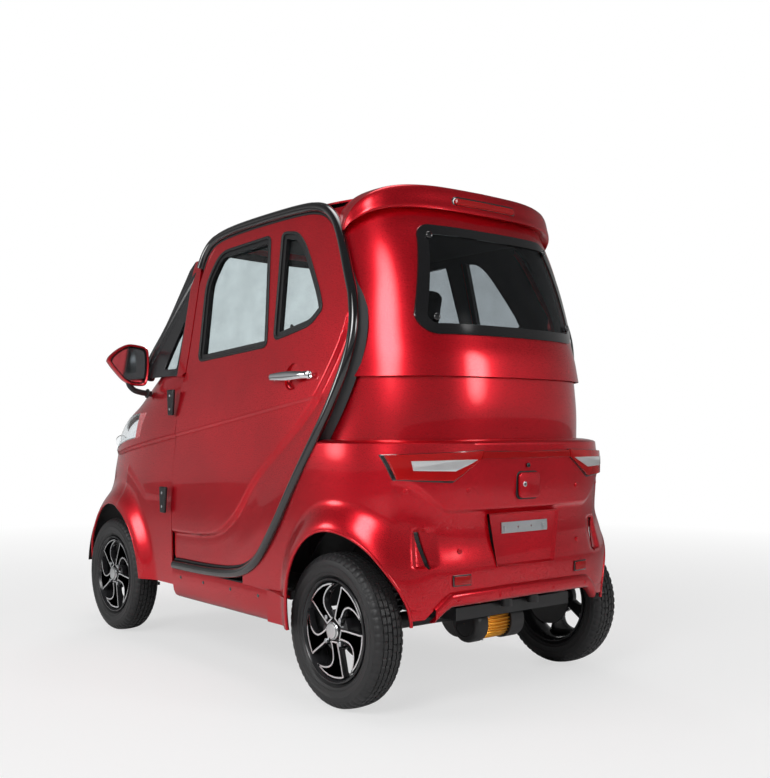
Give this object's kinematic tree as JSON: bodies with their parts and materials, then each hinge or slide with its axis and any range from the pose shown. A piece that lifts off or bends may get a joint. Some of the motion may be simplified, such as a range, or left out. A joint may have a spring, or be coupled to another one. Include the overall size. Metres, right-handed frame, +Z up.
{
  "type": "enclosed mobility scooter",
  "caption": "Enclosed four-wheel electric mobility scooter with two hinged doors, a hollow cab, steered front wheels and a rear motor axle.",
  "frame": {"origin": "centre of the bounding box on the ground", "axes": "+Y to the tail, +X to the vehicle's left side, +Z up"},
  "size_m": [1.368, 2.282, 1.626],
  "materials": {
    "body_red": "gloss",
    "frame_black": "satin",
    "tube_black": "gloss",
    "trim_black": "matte",
    "upholstery": "satin",
    "clear_glass": "polished",
    "dark_glass": "polished",
    "lamp_red": "gloss",
    "lamp_clear": "polished",
    "zinc_steel": "satin",
    "chrome": "polished",
    "tyre_rubber": "matte",
    "alloy": "gloss",
    "motor_gold": "satin"
  },
  "bodies": {
    "chassis": {"chassis_frame": "frame_black", "floor_pan": "trim_black", "battery_pack": "trim_black", "sills": "body_red", "rear_clip": "body_red", "belt_band": "body_red", "rear_shell": "body_red", "roof_panel": "body_red", "spoiler": "body_red", "brake_lamp": "lamp_red", "rear_window": "dark_glass", "tail_lamps": "lamp_red", "plate_bracket": "zinc_steel", "reflectors": "lamp_red", "rear_valance": "body_red", "door_tubes": "tube_black", "front_body": "body_red", "front_bumper": "trim_black", "headlamps": "lamp_clear", "front_glass": "clear_glass", "pillar_frame": "body_red", "wiper": "trim_black", "mirrors": "body_red", "dashboard": "trim_black", "seat_base": "upholstery", "seat_back": "upholstery", "rear_seat_base": "upholstery", "rear_seat_back": "upholstery", "rear_axle": "frame_black", "motor": "motor_gold", "front_axle": "frame_black", "door_hinges": "trim_black", "tow_eyes": "frame_black"},
    "charge_lid": {"charge_lid": "body_red"},
    "door_left": {"door_left_panel": "body_red", "door_left_glass": "clear_glass", "door_left_handle": "chrome"},
    "knuckle_left": {"knuckle_left": "frame_black"},
    "door_right": {"door_right_panel": "body_red", "door_right_glass": "clear_glass", "door_right_handle": "chrome"},
    "knuckle_right": {"knuckle_right": "frame_black"},
    "steering": {"steering_wheel": "trim_black"},
    "wheel_front_left": {"tyre_front_left": "tyre_rubber", "rim_front_left": "alloy"},
    "wheel_front_right": {"tyre_front_right": "tyre_rubber", "rim_front_right": "alloy"},
    "wheel_rear_left": {"tyre_rear_left": "tyre_rubber", "rim_rear_left": "alloy"},
    "wheel_rear_right": {"tyre_rear_right": "tyre_rubber", "rim_rear_right": "alloy"}
  },
  "joints": [
    {"name": "door_left_hinge", "type": "hinge", "parent": "chassis", "child": "door_left", "pos_m": [0.568, -0.196, 0.76], "axis": [0, 0, -1], "range_deg": [0, 65]},
    {"name": "door_right_hinge", "type": "hinge", "parent": "chassis", "child": "door_right", "pos_m": [-0.568, -0.196, 0.76], "axis": [0, 0, 1], "range_deg": [0, 65]},
    {"name": "steering_turn", "type": "hinge", "parent": "chassis", "child": "steering", "pos_m": [0, -0.035, 0.925], "axis": [0, 0.788, 0.6157], "range_deg": [-280, 280]},
    {"name": "steer_left", "type": "hinge", "parent": "chassis", "child": "knuckle_left", "pos_m": [0.392, -0.74, 0.234], "axis": [0, 0, 1], "range_deg": [-28, 28]},
    {"name": "steer_right", "type": "hinge", "parent": "chassis", "child": "knuckle_right", "pos_m": [-0.392, -0.74, 0.234], "axis": [0, 0, 1], "range_deg": [-28, 28]},
    {"name": "spin_front_left", "type": "hinge", "parent": "knuckle_left", "child": "wheel_front_left", "pos_m": [0.487, -0.74, 0.234], "axis": [1, 0, 0], "continuous": true},
    {"name": "spin_front_right", "type": "hinge", "parent": "knuckle_right", "child": "wheel_front_right", "pos_m": [-0.487, -0.74, 0.234], "axis": [1, 0, 0], "continuous": true},
    {"name": "spin_rear_left", "type": "hinge", "parent": "chassis", "child": "wheel_rear_left", "pos_m": [0.487, 0.82, 0.234], "axis": [1, 0, 0], "continuous": true},
    {"name": "spin_rear_right", "type": "hinge", "parent": "chassis", "child": "wheel_rear_right", "pos_m": [-0.487, 0.82, 0.234], "axis": [1, 0, 0], "continuous": true},
    {"name": "charge_lid_hinge", "type": "hinge", "parent": "chassis", "child": "charge_lid", "pos_m": [0, 1.135, 0.707], "axis": [1, 0, 0], "range_deg": [0, 100]}
  ],
  "couplings": [
    {"joint": "steer_left", "follows": "steering_turn", "ratio": 0.1},
    {"joint": "steer_right", "follows": "steering_turn", "ratio": 0.1}
  ]
}
